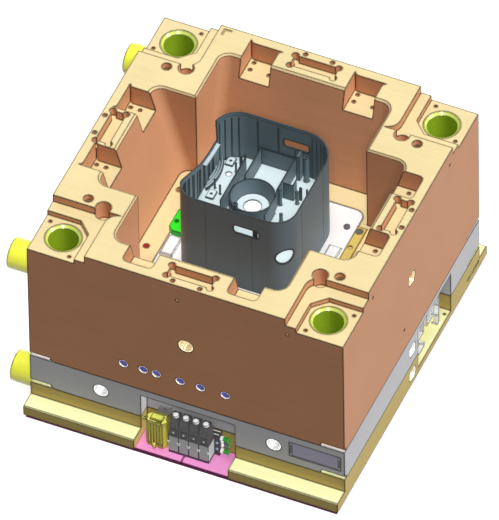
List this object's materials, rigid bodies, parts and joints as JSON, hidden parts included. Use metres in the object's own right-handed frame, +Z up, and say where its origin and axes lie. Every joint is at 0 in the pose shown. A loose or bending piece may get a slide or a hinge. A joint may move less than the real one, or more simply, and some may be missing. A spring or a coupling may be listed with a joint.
{
  "type": "injection mould half",
  "caption": "Fixed half of a hot-runner injection mould with stepped guide corners, a deep cross-shaped pocket with sloping lock walls and the moulded housing standing on its insert",
  "frame": {"origin": "on the machine axis (the centre of the locating ring), on the underside of the insulation board", "axes": "+Z up from the machine face to the parting face; +X to the right along the front with the valve island; +Y to the back"},
  "size_m": [0.975, 1, 0.644],
  "materials": {
    "peach_steel": "satin, even coat on machined steel",
    "pale_steel": "ground steel, satin",
    "khaki_steel": "satin, even coat on machined steel",
    "pink_board": "matt insulation board",
    "lime_bronze": "bright, turned",
    "lime_pillar": "bright, turned",
    "white_steel": "white, satin",
    "grey_moulding": "blue-grey moulded plastic, semi-gloss",
    "green_lock": "bright green, satin",
    "gold_bronze": "bronze, satin",
    "dark_red": "dark red plugs and grey screws",
    "blue_nipple": "dark blue, gloss",
    "plate_violet": "grey-violet name plate, bare",
    "tool_steel": "bright tool steel",
    "black_plastic": "black moulded plastic",
    "grey_plastic": "light grey moulded plastic",
    "white_plastic": "white moulded plastic",
    "green_plastic": "green moulded plastic",
    "yellow_plastic": "yellow moulded plastic",
    "grey_metal": "bare bent sheet"
  },
  "bodies": {
    "mould": {"cavity_plate": "peach_steel", "manifold_plate": "pale_steel", "clamp_plate": "khaki_steel", "insulation_board_left": "pink_board", "insulation_board_right": "pink_board", "guide_bush_1": "lime_bronze", "guide_bush_2": "lime_bronze", "guide_bush_3": "lime_bronze", "guide_bush_4": "lime_bronze", "foot_pillar_1": "lime_pillar", "foot_pillar_2": "lime_pillar", "foot_pillar_3": "lime_pillar", "foot_pillar_4": "lime_pillar", "cavity_insert": "white_steel", "moulded_housing": "grey_moulding", "side_lock": "green_lock", "interlock_blocks": "white_steel", "wear_strip": "gold_bronze", "floor_screws": "dark_red", "water_nipples": "blue_nipple", "name_plate": "plate_violet", "tie_screws": "tool_steel", "hot_runner_block": "tool_steel", "hot_nozzle_1": "tool_steel", "hot_nozzle_2": "tool_steel", "hot_nozzle_3": "tool_steel", "hot_nozzle_4": "tool_steel", "valve_cylinder_1": "tool_steel", "valve_cylinder_2": "tool_steel", "valve_cylinder_3": "tool_steel", "valve_cylinder_4": "tool_steel", "locating_ring": "tool_steel", "sprue_bush": "tool_steel", "valve_base": "black_plastic", "solenoid_valve_1": "grey_plastic", "solenoid_valve_2": "grey_plastic", "solenoid_valve_3": "grey_plastic", "solenoid_valve_4": "grey_plastic", "coil_cap_1": "black_plastic", "coil_cap_2": "black_plastic", "coil_cap_3": "black_plastic", "coil_cap_4": "black_plastic", "air_end_block": "black_plastic", "push_fittings": "green_plastic", "ribbed_connector": "yellow_plastic", "cable_bracket": "grey_metal", "connector_socket_1": "white_plastic", "connector_socket_2": "white_plastic"},
    "gate_pin_1": {"valve_pin_1": "tool_steel"},
    "gate_pin_2": {"valve_pin_2": "tool_steel"},
    "gate_pin_3": {"valve_pin_3": "tool_steel"},
    "gate_pin_4": {"valve_pin_4": "tool_steel"},
    "hand_button_1": {"override_button_1": "white_plastic"},
    "hand_button_2": {"override_button_2": "white_plastic"},
    "hand_button_3": {"override_button_3": "white_plastic"},
    "hand_button_4": {"override_button_4": "white_plastic"},
    "locking_lever_1": {"connector_lever_1": "white_plastic"},
    "locking_lever_2": {"connector_lever_2": "white_plastic"}
  },
  "joints": [
    {"name": "gate_pin_slide_1", "type": "slide", "parent": "mould", "child": "gate_pin_1", "axis": [0, 0, -1], "range_m": [0, 0.01]},
    {"name": "gate_pin_slide_2", "type": "slide", "parent": "mould", "child": "gate_pin_2", "axis": [0, 0, -1], "range_m": [0, 0.01]},
    {"name": "gate_pin_slide_3", "type": "slide", "parent": "mould", "child": "gate_pin_3", "axis": [0, 0, -1], "range_m": [0, 0.01]},
    {"name": "gate_pin_slide_4", "type": "slide", "parent": "mould", "child": "gate_pin_4", "axis": [0, 0, -1], "range_m": [0, 0.01]},
    {"name": "hand_button_press_1", "type": "slide", "parent": "mould", "child": "hand_button_1", "axis": [0, 0, -1], "range_m": [0, 0.003], "stiffness_N_per_m": 300},
    {"name": "hand_button_press_2", "type": "slide", "parent": "mould", "child": "hand_button_2", "axis": [0, 0, -1], "range_m": [0, 0.003], "stiffness_N_per_m": 300},
    {"name": "hand_button_press_3", "type": "slide", "parent": "mould", "child": "hand_button_3", "axis": [0, 0, -1], "range_m": [0, 0.003], "stiffness_N_per_m": 300},
    {"name": "hand_button_press_4", "type": "slide", "parent": "mould", "child": "hand_button_4", "axis": [0, 0, -1], "range_m": [0, 0.003], "stiffness_N_per_m": 300},
    {"name": "locking_lever_swing_1", "type": "hinge", "parent": "mould", "child": "locking_lever_1", "pos_m": [0.407, 0.1, 0.092], "axis": [0, 1, 0], "range_deg": [0, 55]},
    {"name": "locking_lever_swing_2", "type": "hinge", "parent": "mould", "child": "locking_lever_2", "pos_m": [0.407, 0.2, 0.092], "axis": [0, 1, 0], "range_deg": [0, 55]}
  ]
}
